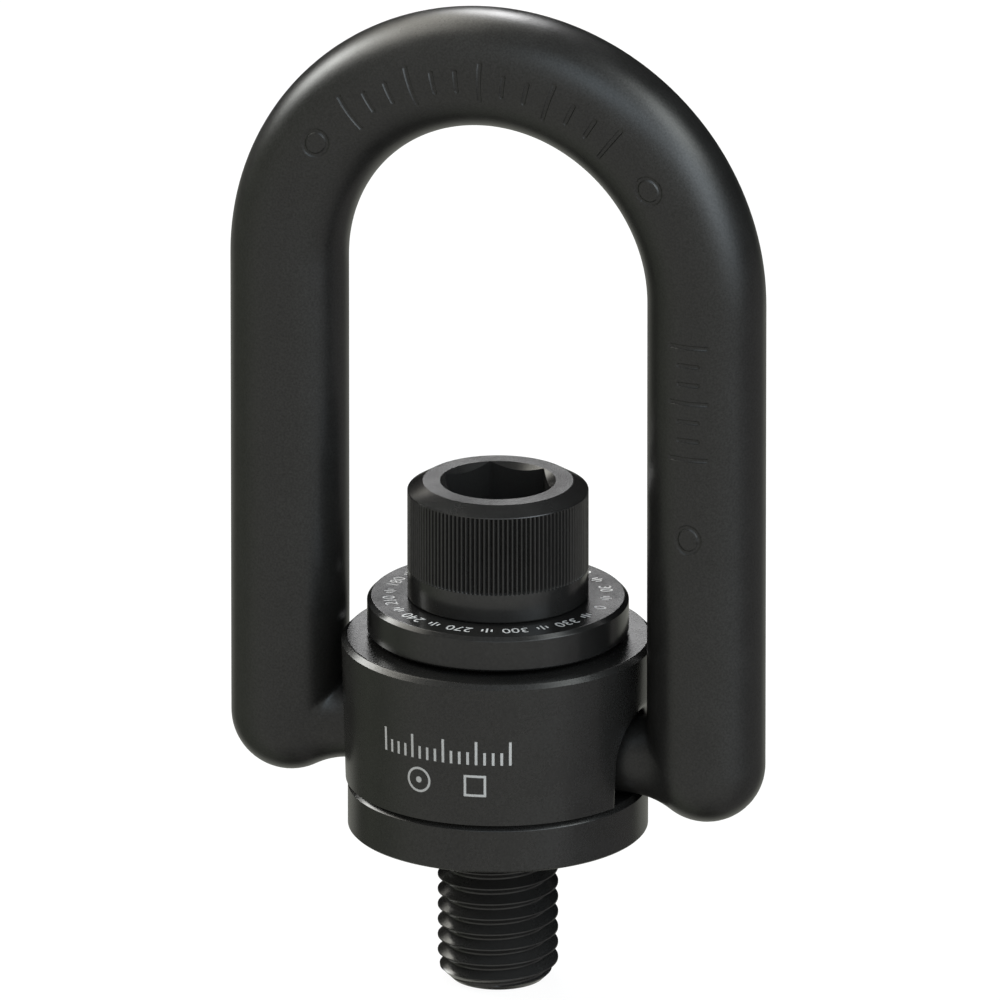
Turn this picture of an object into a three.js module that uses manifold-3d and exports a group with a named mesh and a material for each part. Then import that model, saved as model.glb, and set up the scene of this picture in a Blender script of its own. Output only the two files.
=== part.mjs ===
// Swivel hoist ring with a 3/4-10 UNC bolt: a bail that pivots in a swivel body, which turns on a flanged
// bushing under the head of one large socket head cap screw.
//
// Millimetres, +Z up. The origin is the centre of the bolt's tip, and +Z is the bolt's axis. The bail's
// trunnions lie along X, so the bail stands in the XZ plane.

import * as THREE from 'three';
import { mergeVertices } from 'three/addons/utils/BufferGeometryUtils.js';
import Module from 'manifold-3d';

const wasm = await Module();
wasm.setup();

// ---- Driving dimensions ----

const ROUND_SEGMENTS = 64;
const RUNNING_GAP = 0.3;
const SEAT_GAP = 0.05;

// Flanged bushing
const SEAT_Z = 25.4;
const FLANGE_RADIUS = 23.71;
const FLANGE_HEIGHT = 7.75;
const SLEEVE_RADIUS = 14.2;
const SLEEVE_TOP_Z = 57.85;
const BOLT_BORE_RADIUS = 9.85;
const RING_POCKET_RADIUS = 12.3;
const RING_POCKET_DEPTH = 3.2;
const EDGE_CHAMFER = 0.8;
const SMALL_CHAMFER = 0.4;

// Swivel body
const BODY_TOP_Z = 57.05;
const BODY_TOP_RADIUS = 24.7;
const BODY_BOTTOM_RADIUS = 24.05;
const BODY_BORE_RADIUS = 14.4;
const SLOT_HALF_WIDTH = 7;

// Bail
const TRUNNION_AXIS_Z = 39.96;
const BAR_RADIUS = 9.46;
const BAR_HALF_DEPTH = 8.61;
const LEG_X = 35.08;
const ARCH_CENTRE_Z = 116.34;
const TRUNNION_RADIUS = 6.2;
const TRUNNION_END_X = 15.2;
const NECK_FILLET_RADIUS = 15;
const BAR_SEGMENTS = 24;
const BAR_STEPS = 56;

// Load washer
const WASHER_RADIUS = 20.65;
const WASHER_BOTTOM_Z = 57.9;
const WASHER_TOP_Z = 63.6;
const WASHER_BORE_RADIUS = 10;

// Socket head cap screw, 3/4-10 UNC
const INCH = 25.4;
const THREAD_RADIUS = 0.375 * INCH;
const THREAD_PITCH = INCH / 10;
const THREAD_DEPTH = 0.61343 * THREAD_PITCH;
const THREAD_TOP_Z = 25.8;
const THREAD_CREST_TURN = 200.8;
const THREAD_CREST_Z = 16.91;
const THREAD_SEGMENTS = 32;
const TIP_RADIUS = 7.4;
const HEAD_RADIUS = 0.5625 * INCH;
const HEAD_TOP_Z = 82.7;
const HEAD_FLAT_RADIUS = 11.86;
const HEAD_CHAMFER_HEIGHT = 1.45;
const SOCKET_ACROSS_FLATS = 0.625 * INCH;
const SOCKET_DEPTH = 10.5;
const SOCKET_MOUTH_RADIUS = 9.18;
const SOCKET_TURN = -1.5;
const SOCKET_MOUTH_SLOPE = 36;

// Retaining ring and its groove
const RING_THICKNESS = 1.27;
const RING_OUTER_RADIUS = 11.4;
const RING_INNER_RADIUS = 8.65;
const RING_BOTTOM_Z = 26.48;
const RING_GAP_ANGLE = 50;
const GROOVE_RADIUS = 8.5;
const GROOVE_CLEARANCE = 0.08;

// ---- Solids ----

function solidFrom(geometry) {
  const bare = new THREE.BufferGeometry();
  bare.setAttribute('position', geometry.getAttribute('position'));
  if (geometry.index) bare.setIndex(geometry.index);
  const merged = mergeVertices(bare, 1e-4);
  const corners = Array.from(merged.index.array);
  const triangles = [];
  for (let i = 0; i < corners.length; i += 3) {
    const [a, b, c] = corners.slice(i, i + 3);
    if (a !== b && b !== c && c !== a) triangles.push(a, b, c);
  }
  return new wasm.Manifold(new wasm.Mesh({
    numProp: 3,
    vertProperties: new Float32Array(merged.getAttribute('position').array),
    triVerts: new Uint32Array(triangles),
  }));
}

function namedMesh(name, solid, colour, roughness) {
  const { vertProperties, triVerts } = solid.getMesh();
  const geometry = new THREE.BufferGeometry();
  geometry.setAttribute('position', new THREE.BufferAttribute(vertProperties, 3));
  geometry.setIndex(new THREE.BufferAttribute(triVerts, 1));
  geometry.computeVertexNormals();
  const material = new THREE.MeshStandardMaterial({ color: colour, roughness, metalness: 0.4 });
  const mesh = new THREE.Mesh(geometry, material);
  mesh.name = name;
  return mesh;
}

// A solid turned round the Z axis. The outline is a list of [radius, z] that runs up the outside.
function turned(outline, segments = ROUND_SEGMENTS, start = 0, sweep = 2 * Math.PI) {
  const points = outline.map(([radius, z]) => new THREE.Vector2(radius, z));
  const geometry = new THREE.LatheGeometry(points, segments, start, sweep);
  geometry.rotateX(Math.PI / 2);
  return solidFrom(geometry);
}

// The outline of a plain ring, with a 45 degree chamfer on its outer top and bottom edges.
function ringOutline(inner, outer, low, high, bottomChamfer, topChamfer) {
  return [
    [inner, low],
    [outer - bottomChamfer, low],
    [outer, low + bottomChamfer],
    [outer, high - topChamfer],
    [outer - topChamfer, high],
    [inner, high],
    [inner, low],
  ];
}

// ---- Flanged bushing ----

function flangedBushing() {
  const flangeTop = SEAT_Z + FLANGE_HEIGHT;
  const pocketRoof = SEAT_Z + RING_POCKET_DEPTH;
  return turned([
    [RING_POCKET_RADIUS, SEAT_Z],
    [FLANGE_RADIUS - SMALL_CHAMFER, SEAT_Z],
    [FLANGE_RADIUS, SEAT_Z + SMALL_CHAMFER],
    [FLANGE_RADIUS, flangeTop - EDGE_CHAMFER],
    [FLANGE_RADIUS - EDGE_CHAMFER, flangeTop],
    [SLEEVE_RADIUS, flangeTop],
    [SLEEVE_RADIUS, SLEEVE_TOP_Z],
    [BOLT_BORE_RADIUS, SLEEVE_TOP_Z],
    [BOLT_BORE_RADIUS, pocketRoof],
    [RING_POCKET_RADIUS, pocketRoof],
    [RING_POCKET_RADIUS, SEAT_Z],
  ]);
}

// ---- Swivel body ----

// The two trunnion slots are one bar along X with an arched top. They are open at the bottom.
function trunnionSlots(bottom) {
  const arch = new THREE.Shape();
  arch.moveTo(-SLOT_HALF_WIDTH, bottom - 1);
  arch.lineTo(SLOT_HALF_WIDTH, bottom - 1);
  arch.lineTo(SLOT_HALF_WIDTH, TRUNNION_AXIS_Z);
  arch.absarc(0, TRUNNION_AXIS_Z, SLOT_HALF_WIDTH, 0, Math.PI, false);
  const length = 4 * BODY_TOP_RADIUS;
  const bar = new THREE.ExtrudeGeometry(arch, { depth: length, bevelEnabled: false, curveSegments: 20 });
  bar.translate(0, 0, -length / 2);
  bar.rotateX(Math.PI / 2);
  bar.rotateZ(Math.PI / 2);
  return solidFrom(bar);
}

function swivelBody() {
  const bottom = SEAT_Z + FLANGE_HEIGHT + RUNNING_GAP;
  const ring = turned([
    [BODY_BORE_RADIUS, bottom],
    [BODY_BOTTOM_RADIUS - SMALL_CHAMFER, bottom],
    [BODY_BOTTOM_RADIUS, bottom + SMALL_CHAMFER],
    [BODY_TOP_RADIUS, BODY_TOP_Z - EDGE_CHAMFER],
    [BODY_TOP_RADIUS - EDGE_CHAMFER, BODY_TOP_Z],
    [BODY_BORE_RADIUS, BODY_TOP_Z],
    [BODY_BORE_RADIUS, bottom],
  ]);
  return ring.subtract(trunnionSlots(bottom));
}

// ---- Bail ----

class Arch extends THREE.Curve {
  getPoint(t, target = new THREE.Vector3()) {
    const turn = Math.PI * (1 - t);
    return target.set(LEG_X * Math.cos(turn), 0, ARCH_CENTRE_Z + LEG_X * Math.sin(turn));
  }
}

// Flattens the bail's shape from round to its oval section: share is how far, by the distance along X.
function flattened(geometry, share) {
  const position = geometry.getAttribute('position');
  for (let i = 0; i < position.count; i++) {
    const scale = 1 - share(Math.abs(position.getX(i))) * (1 - BAR_HALF_DEPTH / BAR_RADIUS);
    position.setY(i, position.getY(i) * scale);
  }
  return geometry;
}

function bar() {
  const centreline = new THREE.CurvePath();
  const foot = (x) => new THREE.Vector3(x, 0, TRUNNION_AXIS_Z);
  const shoulder = (x) => new THREE.Vector3(x, 0, ARCH_CENTRE_Z);
  centreline.add(new THREE.LineCurve3(foot(-LEG_X), shoulder(-LEG_X)));
  centreline.add(new Arch());
  centreline.add(new THREE.LineCurve3(shoulder(LEG_X), foot(LEG_X)));
  const section = new THREE.Shape();
  section.absarc(0, 0, BAR_RADIUS, 0, 2 * Math.PI, false);
  const geometry = new THREE.ExtrudeGeometry(section, {
    steps: BAR_STEPS,
    curveSegments: BAR_SEGMENTS / 2,
    extrudePath: centreline,
  });
  return solidFrom(flattened(geometry, () => 1));
}

// A trunnion round the X axis. Its neck is a concave fillet that is tangent to the trunnion and to the leg's
// rounded end, and goes from round to oval.
function trunnion(side) {
  const outline = [
    [0, TRUNNION_END_X],
    [TRUNNION_RADIUS - SMALL_CHAMFER, TRUNNION_END_X],
    [TRUNNION_RADIUS, TRUNNION_END_X + SMALL_CHAMFER],
  ];
  const filletCentreRadius = TRUNNION_RADIUS + NECK_FILLET_RADIUS;
  const centreDistance = BAR_RADIUS + NECK_FILLET_RADIUS;
  const sweep = Math.acos(filletCentreRadius / centreDistance);
  const filletX = LEG_X - centreDistance * Math.sin(sweep);
  const neckSteps = 5;
  for (let i = 0; i <= neckSteps; i++) {
    const turn = sweep * i / neckSteps;
    outline.push([
      filletCentreRadius - NECK_FILLET_RADIUS * Math.cos(turn),
      filletX + NECK_FILLET_RADIUS * Math.sin(turn),
    ]);
  }
  outline.push([TRUNNION_RADIUS, LEG_X]);
  outline.push([0, LEG_X]);
  const points = outline.map(([radius, x]) => new THREE.Vector2(radius, x));
  const geometry = new THREE.LatheGeometry(points, BAR_SEGMENTS);
  geometry.rotateZ(side > 0 ? -Math.PI / 2 : Math.PI / 2);
  geometry.translate(0, 0, TRUNNION_AXIS_Z);
  const tangentX = LEG_X - BAR_RADIUS * Math.sin(sweep);
  return solidFrom(flattened(geometry, (x) => THREE.MathUtils.smoothstep(x, filletX, tangentX)));
}

function roundedEnd(side) {
  const ball = new THREE.SphereGeometry(BAR_RADIUS, BAR_SEGMENTS, BAR_SEGMENTS / 2);
  ball.rotateX(Math.PI / 2);
  ball.translate(side * LEG_X, 0, TRUNNION_AXIS_Z);
  return solidFrom(flattened(ball, () => 1));
}

function bail() {
  let solid = bar();
  for (const side of [-1, 1]) solid = solid.add(roundedEnd(side)).add(trunnion(side));
  return solid;
}

// ---- Load washer ----

function loadWasher() {
  return turned(ringOutline(
    WASHER_BORE_RADIUS, WASHER_RADIUS, WASHER_BOTTOM_Z, WASHER_TOP_Z, SMALL_CHAMFER, 0.65,
  ));
}

// ---- Socket head cap screw ----

// A right-hand thread, closed at both ends and longer than needed. Each row of corners runs up the helix, and
// one turn further on a row meets the row that is one pitch above it.
function endlessThread(low, high) {
  const rootRadius = THREAD_RADIUS - THREAD_DEPTH;
  const profile = [
    [-THREAD_PITCH / 16, THREAD_RADIUS],
    [THREAD_PITCH / 16, THREAD_RADIUS],
    [THREAD_PITCH * 7 / 16, rootRadius],
    [THREAD_PITCH * 9 / 16, rootRadius],
  ];
  const rowsPerPitch = profile.length;
  const phase = THREAD_CREST_Z - THREAD_PITCH * THREAD_CREST_TURN / 360;
  const firstPitch = Math.floor((low - phase) / THREAD_PITCH) - 2;
  const pitches = Math.ceil((high - low) / THREAD_PITCH) + 4;
  const rows = pitches * rowsPerPitch;

  const corners = [];
  const columns = [];
  for (let i = 0; i < THREAD_SEGMENTS; i++) {
    const turn = i / THREAD_SEGMENTS;
    const column = [];
    const columnRows = i === 0 ? rows + rowsPerPitch : rows;
    for (let j = 0; j <= columnRows; j++) {
      const [offset, radius] = profile[j % rowsPerPitch];
      const pitch = firstPitch + Math.floor(j / rowsPerPitch) + turn;
      column.push(corners.length / 3);
      corners.push(
        radius * Math.cos(2 * Math.PI * turn),
        radius * Math.sin(2 * Math.PI * turn),
        phase + THREAD_PITCH * pitch + offset,
      );
    }
    columns.push(column);
  }
  columns.push(columns[0].slice(rowsPerPitch));

  const triangles = [];
  for (let i = 0; i < THREAD_SEGMENTS; i++) {
    for (let j = 0; j < rows; j++) {
      const [a, b, c, d] = [columns[i][j], columns[i + 1][j], columns[i + 1][j + 1], columns[i][j + 1]];
      triangles.push(a, b, d, b, c, d);
    }
  }

  const lowestZ = phase + THREAD_PITCH * (firstPitch - 1);
  const highestZ = phase + THREAD_PITCH * (firstPitch + pitches + 2);
  const bottomCentre = corners.length / 3;
  const topCentre = bottomCentre + 1;
  corners.push(0, 0, lowestZ, 0, 0, highestZ);
  const bottomRim = columns.map((column) => column[0]);
  const topRim = columns.map((column) => column[rows]);
  for (let j = rowsPerPitch - 1; j > 0; j--) {
    bottomRim.push(columns[0][j]);
    topRim.push(columns[0][rows + j]);
  }
  for (let k = 0; k < bottomRim.length; k++) {
    const next = (k + 1) % bottomRim.length;
    triangles.push(bottomCentre, bottomRim[next], bottomRim[k]);
    triangles.push(topCentre, topRim[k], topRim[next]);
  }

  const geometry = new THREE.BufferGeometry();
  geometry.setAttribute('position', new THREE.Float32BufferAttribute(corners, 3));
  geometry.setIndex(triangles);
  return solidFrom(geometry);
}

function threadedEnd() {
  const clearRadius = THREAD_RADIUS + 1;
  const overlap = 0.2;
  const envelope = turned([
    [0, 0],
    [TIP_RADIUS, 0],
    [clearRadius, clearRadius - TIP_RADIUS],
    [clearRadius, THREAD_TOP_Z + overlap],
    [0, THREAD_TOP_Z + overlap],
  ], THREAD_SEGMENTS);
  return endlessThread(0, THREAD_TOP_Z + overlap).intersect(envelope);
}

function shankAndHead() {
  const headBottom = WASHER_TOP_Z + SEAT_GAP;
  const grooveLow = RING_BOTTOM_Z - GROOVE_CLEARANCE;
  const grooveHigh = RING_BOTTOM_Z + RING_THICKNESS + GROOVE_CLEARANCE;
  return turned([
    [0, THREAD_TOP_Z],
    [THREAD_RADIUS, THREAD_TOP_Z],
    [THREAD_RADIUS, grooveLow],
    [GROOVE_RADIUS, grooveLow],
    [GROOVE_RADIUS, grooveHigh],
    [THREAD_RADIUS, grooveHigh],
    [THREAD_RADIUS, headBottom],
    [HEAD_RADIUS - SMALL_CHAMFER, headBottom],
    [HEAD_RADIUS, headBottom + SMALL_CHAMFER],
    [HEAD_RADIUS, HEAD_TOP_Z - HEAD_CHAMFER_HEIGHT],
    [HEAD_FLAT_RADIUS, HEAD_TOP_Z],
    [0, HEAD_TOP_Z],
  ]);
}

// A hexagonal hole with a conical mouth and a shallow drill point.
function hexSocket() {
  const cornerRadius = SOCKET_ACROSS_FLATS / Math.sqrt(3);
  const floor = HEAD_TOP_Z - SOCKET_DEPTH;
  const hexagon = new THREE.CylinderGeometry(cornerRadius, cornerRadius, SOCKET_DEPTH + 1, 6);
  hexagon.rotateX(Math.PI / 2);
  hexagon.rotateZ(Math.PI / 2 + THREE.MathUtils.degToRad(SOCKET_TURN));
  hexagon.translate(0, 0, floor + (SOCKET_DEPTH + 1) / 2);
  const innerRadius = SOCKET_ACROSS_FLATS / 2;
  const slope = (degrees) => Math.tan(THREE.MathUtils.degToRad(degrees));
  const mouthDepth = (SOCKET_MOUTH_RADIUS - innerRadius) * slope(SOCKET_MOUTH_SLOPE);
  const drillDepth = innerRadius * slope(30);
  const mouth = turned([
    [0, HEAD_TOP_Z - mouthDepth],
    [innerRadius, HEAD_TOP_Z - mouthDepth],
    [SOCKET_MOUTH_RADIUS, HEAD_TOP_Z],
    [SOCKET_MOUTH_RADIUS, HEAD_TOP_Z + 1],
    [0, HEAD_TOP_Z + 1],
  ], 48);
  const drillPoint = turned([
    [0, floor - drillDepth],
    [innerRadius - 0.2, floor],
    [innerRadius - 0.2, floor + 0.5],
    [0, floor + 0.5],
  ], 48);
  return solidFrom(hexagon).add(mouth).add(drillPoint);
}

function socketHeadBolt() {
  return shankAndHead().add(threadedEnd()).subtract(hexSocket());
}

// ---- Retaining ring ----

// A snap ring that is open at the back by RING_GAP_ANGLE.
function retainingRing() {
  const ring = turned(ringOutline(
    RING_INNER_RADIUS, RING_OUTER_RADIUS, RING_BOTTOM_Z, RING_BOTTOM_Z + RING_THICKNESS, 0, 0,
  ));
  const reach = 2 * RING_OUTER_RADIUS;
  const halfGap = THREE.MathUtils.degToRad(RING_GAP_ANGLE / 2);
  const wedge = new THREE.Shape();
  wedge.moveTo(0, 0);
  wedge.lineTo(reach * Math.sin(halfGap), reach * Math.cos(halfGap));
  wedge.lineTo(-reach * Math.sin(halfGap), reach * Math.cos(halfGap));
  const gap = new THREE.ExtrudeGeometry(wedge, { depth: 3 * RING_THICKNESS, bevelEnabled: false });
  gap.translate(0, 0, RING_BOTTOM_Z - RING_THICKNESS);
  return ring.subtract(solidFrom(gap));
}

// ---- Assembly ----

const hoistRing = new THREE.Group();
hoistRing.add(
  namedMesh('flanged_bushing', flangedBushing(), 0x232321, 0.35),
  namedMesh('swivel_body', swivelBody(), 0x232321, 0.35),
  namedMesh('bail', bail(), 0x262624, 0.42),
  namedMesh('load_washer', loadWasher(), 0x1f1f1f, 0.3),
  namedMesh('socket_head_bolt', socketHeadBolt(), 0x1b1b1b, 0.3),
  namedMesh('retaining_ring', retainingRing(), 0x3a3a3a, 0.3),
);

export default hoistRing;
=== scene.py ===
"""Swivel hoist ring: the fine surfaces, materials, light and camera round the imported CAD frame.

Shapes are worked out in millimetres, in the frame's axes, and scaled to metres when a mesh is made. +Z is
the bolt's axis, the bail's trunnions lie along X, and -Y is the front.
"""

import math

import bmesh
import bpy
import numpy as np
from mathutils import Matrix, Vector


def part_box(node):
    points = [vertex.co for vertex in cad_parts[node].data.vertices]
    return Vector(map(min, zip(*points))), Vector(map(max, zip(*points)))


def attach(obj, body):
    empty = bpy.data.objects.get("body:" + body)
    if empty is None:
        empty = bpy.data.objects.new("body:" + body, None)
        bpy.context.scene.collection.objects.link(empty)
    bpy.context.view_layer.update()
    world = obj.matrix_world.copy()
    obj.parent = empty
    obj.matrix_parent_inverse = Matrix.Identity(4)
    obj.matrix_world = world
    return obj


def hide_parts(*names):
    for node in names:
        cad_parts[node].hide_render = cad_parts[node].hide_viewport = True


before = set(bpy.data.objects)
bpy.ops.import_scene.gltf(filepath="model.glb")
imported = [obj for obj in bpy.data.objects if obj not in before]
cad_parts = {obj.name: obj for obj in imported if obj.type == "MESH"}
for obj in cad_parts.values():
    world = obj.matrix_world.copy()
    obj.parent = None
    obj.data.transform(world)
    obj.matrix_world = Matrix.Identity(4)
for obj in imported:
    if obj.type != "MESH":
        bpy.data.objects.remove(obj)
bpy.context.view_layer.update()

MM = 0.001
FULL_TURN = 2 * math.pi
QUARTER_TURN = math.pi / 2
FRONT = -QUARTER_TURN
BACK = QUARTER_TURN


# ---- Sizes that the frame gives, in millimetres ----

def box_mm(node):
    low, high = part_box(node)
    return low / MM, high / MM


BUSHING_LOW, BUSHING_HIGH = box_mm("flanged_bushing")
BODY_LOW, BODY_HIGH = box_mm("swivel_body")
BAIL_LOW, BAIL_HIGH = box_mm("bail")
WASHER_LOW, WASHER_HIGH = box_mm("load_washer")
_, BOLT_HIGH = box_mm("socket_head_bolt")
RING_LOW, RING_HIGH = box_mm("retaining_ring")

BAR_RADIUS = 9.46
BAR_HALF_DEPTH = BAIL_HIGH.y
LEG_X = BAIL_HIGH.x - BAR_RADIUS
TRUNNION_Z = BAIL_LOW.z + BAR_RADIUS
ARCH_Z = BAIL_HIGH.z - BAIL_HIGH.x
EDGE_CHAMFER = 0.8


# ---- Mesh helpers ----

WELD = 0.002
EDGE_SUPPORT = 0.06
ROUNDING_STEPS = 4
TURNED_COLUMNS = 256


def smoothstep(low, high, value):
    t = np.clip((value - low) / (high - low), 0, 1)
    return t * t * (3 - 2 * t)


def around(radius, turn, z):
    """Points at a radius, a turn round Z and a height, any of which may be an array."""
    radius, turn, z = np.broadcast_arrays(radius, turn, z)
    return np.stack([radius * np.cos(turn), radius * np.sin(turn), z], axis=-1)


def flat_point(radius, turn):
    return radius * math.cos(turn), radius * math.sin(turn)


def circle(radius, count, middle=(0, 0)):
    points = [flat_point(radius, turn) for turn in np.linspace(0, FULL_TURN, count + 1)[:-1]]
    return [(middle[0] + x, middle[1] + y) for x, y in points]


def finished(name, work, sharp_degrees, material):
    """The object made from a bmesh, smooth but for its sharp edges."""
    mesh = bpy.data.meshes.new(name)
    bmesh.ops.recalc_face_normals(work, faces=work.faces)
    work.to_mesh(mesh)
    work.free()
    mesh.shade_smooth()
    mesh.set_sharp_from_angle(angle=math.radians(sharp_degrees))
    mesh.materials.append(material)
    piece = bpy.data.objects.new(name, mesh)
    bpy.context.scene.collection.objects.link(piece)
    return piece


class Shell:
    """A closed surface collected from patches whose shared borders are welded at the end."""

    def __init__(self):
        self.points = []
        self.faces = []

    def add(self, points, faces):
        start = len(self.points)
        self.points.extend(tuple(p) for p in np.asarray(points, float))
        self.faces.extend(tuple(start + i for i in face) for face in faces)

    def grid(self, points, closed=False):
        """Quads through points of shape (rows, columns, 3). closed joins the last column to the first."""
        points = np.asarray(points, float)
        rows, columns = points.shape[:2]
        last = columns if closed else columns - 1
        faces = []
        for i in range(rows - 1):
            row, above = i * columns, (i + 1) * columns
            for j in range(last):
                k = (j + 1) % columns
                faces.append((row + j, row + k, above + k, above + j))
        self.add(points.reshape(-1, 3), faces)

    def polygon(self, points):
        self.add(points, [range(len(points))])

    def make(self, name, material, sharp_degrees=28):
        draft = bpy.data.meshes.new(name + "_draft")
        draft.from_pydata([tuple(c * MM for c in p) for p in self.points], [], self.faces)
        work = bmesh.new()
        work.from_mesh(draft)
        bpy.data.meshes.remove(draft)
        bmesh.ops.remove_doubles(work, verts=work.verts, dist=WELD * MM)
        bmesh.ops.dissolve_degenerate(work, dist=WELD * MM * 0.1, edges=work.edges)
        return finished(name, work, sharp_degrees, material)


def place(piece, body, slot, *nodes):
    """Rides the piece on a CAD body and lets it stand for the CAD nodes, which it hides. The slot argument
    is not used.
    """
    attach(piece, body)
    if nodes:
        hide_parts(*nodes)


def softened(corners):
    """A closed outline with its corners rounded. Each corner is (radius, z, rounding).

    A point just beyond each end of a rounding keeps the long faces beside it flat in shading.
    """
    outline = []
    count = len(corners)
    for i, (r, z, rounding) in enumerate(corners):
        corner = np.array([r, z])
        before = np.array(corners[i - 1][:2]) - corner
        after = np.array(corners[(i + 1) % count][:2]) - corner
        if rounding == 0:
            outline.append(corner)
            continue
        before /= np.linalg.norm(before)
        after /= np.linalg.norm(after)
        half = math.acos(np.clip(before @ after, -1, 1)) / 2
        middle = before + after
        centre = corner + middle / np.linalg.norm(middle) * rounding / math.sin(half)
        setback = rounding / math.tan(half)
        start = corner + before * setback - centre
        end = corner + after * setback - centre
        sweep = math.pi - 2 * half
        outline.append(corner + before * (setback + EDGE_SUPPORT))
        for step in range(ROUNDING_STEPS + 1):
            t = step / ROUNDING_STEPS
            mix = (math.sin((1 - t) * sweep) * start + math.sin(t * sweep) * end) / math.sin(sweep)
            outline.append(centre + mix)
        outline.append(corner + after * (setback + EDGE_SUPPORT))
    return np.array(outline)


def ring_of(radius, z, columns, start=0.0):
    return around(radius, start + np.arange(columns) * FULL_TURN / columns, z)


def turned(name, corners, material):
    """A closed ring turned round Z from a closed outline of (radius, z, rounding) corners."""
    outline = softened(corners)
    shell = Shell()
    shell.grid([ring_of(r, z, TURNED_COLUMNS) for r, z in [*outline, outline[0]]], closed=True)
    return shell.make(name, material)


# ---- Materials ----

PLAIN_SPECULAR = 0.5
SPECKLE = 0.08
BLOTCH_SCALE = 140
MOTTLE_SCALE = 900
SPECK_SCALE = 2900
TURNING_SCALE = 3200
BRUSHING_SCALE = 6000
ETCHING_SCALE = 5000
BUMP_DISTANCE = 0.00001
UNTINTED = (1, 1, 1)


class Nodes:
    """A short way to write a node tree."""

    def __init__(self, tree):
        self.tree = tree
        tree.nodes.clear()

    def feed(self, socket, value):
        if isinstance(value, bpy.types.NodeSocket):
            self.tree.links.new(value, socket)
        else:
            socket.default_value = value

    def add(self, kind, inputs=None, **settings):
        node = self.tree.nodes.new(kind)
        for key, value in settings.items():
            setattr(node, key, value)
        for key, value in (inputs or {}).items():
            self.feed(node.inputs[key], value)
        return node

    def math(self, operation, *values):
        return self.add("ShaderNodeMath", dict(enumerate(values)), operation=operation).outputs[0]

    def scaled(self, vector, factor):
        inputs = {0: vector, "Scale": factor}
        return self.add("ShaderNodeVectorMath", inputs, operation="SCALE").outputs["Vector"]

    def position(self):
        """The place on the piece, in metres and in the piece's own axes."""
        return self.add("ShaderNodeTexCoord").outputs["Object"]

    def noise(self, vector, scale, detail=3.0):
        inputs = {"Vector": vector, "Scale": scale, "Detail": detail, "Roughness": 0.55}
        return self.add("ShaderNodeTexNoise", inputs).outputs["Fac"]

    def span(self, value, low, high, from_low=0.3, from_high=0.7, shape="LINEAR"):
        """The value mapped to low..high. The default range is what the noise covers."""
        inputs = {"Value": value, "From Min": from_low, "From Max": from_high, "To Min": low, "To Max": high}
        return self.add("ShaderNodeMapRange", inputs, interpolation_type=shape).outputs["Result"]

    def turning(self, at, scale):
        """Fine noise that only changes along the radius and along Z, as a lathe tool leaves it."""
        parts = self.add("ShaderNodeSeparateXYZ", {"Vector": at}).outputs
        square = self.math("ADD", self.math("POWER", parts["X"], 2.0), self.math("POWER", parts["Y"], 2.0))
        flat = self.add("ShaderNodeCombineXYZ", {"X": self.math("SQRT", square), "Y": parts["Z"]})
        return self.noise(flat.outputs["Vector"], scale, detail=2)

    def surface(self, **inputs):
        """Ends the tree in a principled surface. Underscores in the names stand for spaces."""
        named = {key.replace("_", " "): value for key, value in inputs.items()}
        surface = self.add("ShaderNodeBsdfPrincipled", named)
        self.add("ShaderNodeOutputMaterial", {"Surface": surface.outputs["BSDF"]})


def new_material(name):
    material = bpy.data.materials.new(name)
    material.use_nodes = True
    return material, Nodes(material.node_tree)


def black_steel(name, tone, roughness, grain, turning=0.0):
    """Black oxide on steel: mottled tone and gloss, fine specks, a fine grain, and faint turning lines."""
    material, n = new_material(name)
    at = n.position()
    blotches = n.noise(at, BLOTCH_SCALE, detail=4)
    mottle = n.noise(at, MOTTLE_SCALE)
    fine = n.noise(at, SPECK_SCALE, detail=2)
    shade = n.math("ADD", n.span(blotches, 0.90, 1.08), n.span(fine, -SPECKLE, SPECKLE))
    gloss = n.math("ADD", n.span(blotches, roughness - 0.03, roughness + 0.03), n.span(fine, -0.02, 0.02))
    height = n.math("ADD", n.math("MULTIPLY", fine, grain), n.math("MULTIPLY", mottle, grain * 0.8))
    if turning > 0:
        height = n.math("ADD", height, n.math("MULTIPLY", n.turning(at, TURNING_SCALE), turning))
    n.surface(
        Base_Color=n.scaled(tone, shade),
        Metallic=0.0,
        Roughness=gloss,
        Specular_IOR_Level=n.span(fine, PLAIN_SPECULAR - SPECKLE, PLAIN_SPECULAR + SPECKLE),
        Normal=n.add("ShaderNodeBump", {"Distance": BUMP_DISTANCE, "Height": height}).outputs["Normal"],
    )
    return material


def etched_mark(name, tone):
    """Laser-etched steel: pale and matt, slightly uneven."""
    material, n = new_material(name)
    speckle = n.noise(n.position(), ETCHING_SCALE, detail=2)
    n.surface(
        Base_Color=n.scaled(UNTINTED, n.span(speckle, tone * 0.92, tone * 1.05)),
        Metallic=0.0,
        Roughness=n.span(speckle, 0.5, 0.65),
    )
    return material


def spring_steel(name):
    """Dark oiled spring steel with a fine brushed direction round the ring."""
    material, n = new_material(name)
    lines = n.turning(n.position(), BRUSHING_SCALE)
    n.surface(
        Base_Color=n.scaled(UNTINTED, n.span(lines, 0.10, 0.17)),
        Metallic=0.9,
        Roughness=n.span(lines, 0.28, 0.42),
    )
    return material


FORGED_TONE = (0.0122, 0.0120, 0.0116)
MACHINED_TONE = (0.0125, 0.0122, 0.0118)
WASHER_TONE = (0.0125, 0.0122, 0.0120)
BOLT_TONE = (0.0190, 0.0186, 0.0182)

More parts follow.
